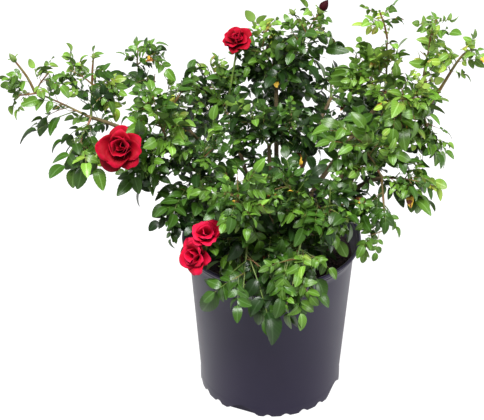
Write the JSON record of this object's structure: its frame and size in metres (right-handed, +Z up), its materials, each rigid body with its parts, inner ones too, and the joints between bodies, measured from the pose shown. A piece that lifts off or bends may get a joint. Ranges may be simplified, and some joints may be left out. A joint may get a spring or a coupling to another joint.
{
  "type": "potted rose bush",
  "caption": "Bushy red rose with leafy canes spreading from a low root crown, growing in a tapered black nursery pot with a rolled rim.",
  "frame": {"origin": "centre of the pot's flat underside", "axes": "+Z up along the pot's axis, +X towards the right-hand side of the bush and along its longest spread, -Y its front"},
  "size_m": [0.6881, 0.4903, 0.6417],
  "materials": {
    "pot": "satin black polypropylene",
    "mix": "moist crumbly potting mix",
    "bark": "smooth green-brown young bark with thorns",
    "leaves": "glossy toothed rose leaves",
    "petals": "velvety crimson petals"
  },
  "bodies": {
    "root": {"bloom_left": "petals", "bloom_low": "petals", "bloom_top": "petals", "bough_left_arm": "bark", "cane_back": "bark", "cane_back_left": "bark", "cane_back_right": "bark", "cane_front": "bark", "cane_front_right": "bark", "cane_left": "bark", "cane_left_high": "bark", "cane_low_left": "bark", "cane_low_right": "bark", "cane_middle": "bark", "cane_right": "bark", "cane_right_high": "bark", "leaves_back": "leaves", "leaves_back_left": "leaves", "leaves_back_right": "leaves", "leaves_centre": "leaves", "leaves_centre_left": "leaves", "leaves_centre_left_high": "leaves", "leaves_centre_right": "leaves", "leaves_centre_right_high": "leaves", "leaves_far_left": "leaves", "leaves_foot_back": "leaves", "leaves_foot_front": "leaves", "leaves_foot_left": "leaves", "leaves_foot_right": "leaves", "leaves_front_left": "leaves", "leaves_front_middle": "leaves", "leaves_front_right": "leaves", "leaves_left_crest": "leaves", "leaves_left_high": "leaves", "leaves_left_inner": "leaves", "leaves_left_low": "leaves", "leaves_left_middle": "leaves", "leaves_left_under": "leaves", "leaves_low_left": "leaves", "leaves_low_right": "leaves", "leaves_right_crest": "leaves", "leaves_right_inner": "leaves", "leaves_right_low": "leaves", "leaves_right_middle": "leaves", "leaves_right_outer": "leaves", "leaves_right_shoulder": "leaves", "leaves_right_tip": "leaves", "leaves_right_top": "leaves", "leaves_rim_left": "leaves", "leaves_rim_right": "leaves", "leaves_top_left": "leaves", "leaves_top_right": "leaves", "pot": "pot", "potting_mix": "mix", "root_crown": "bark"}
  },
  "joints": []
}
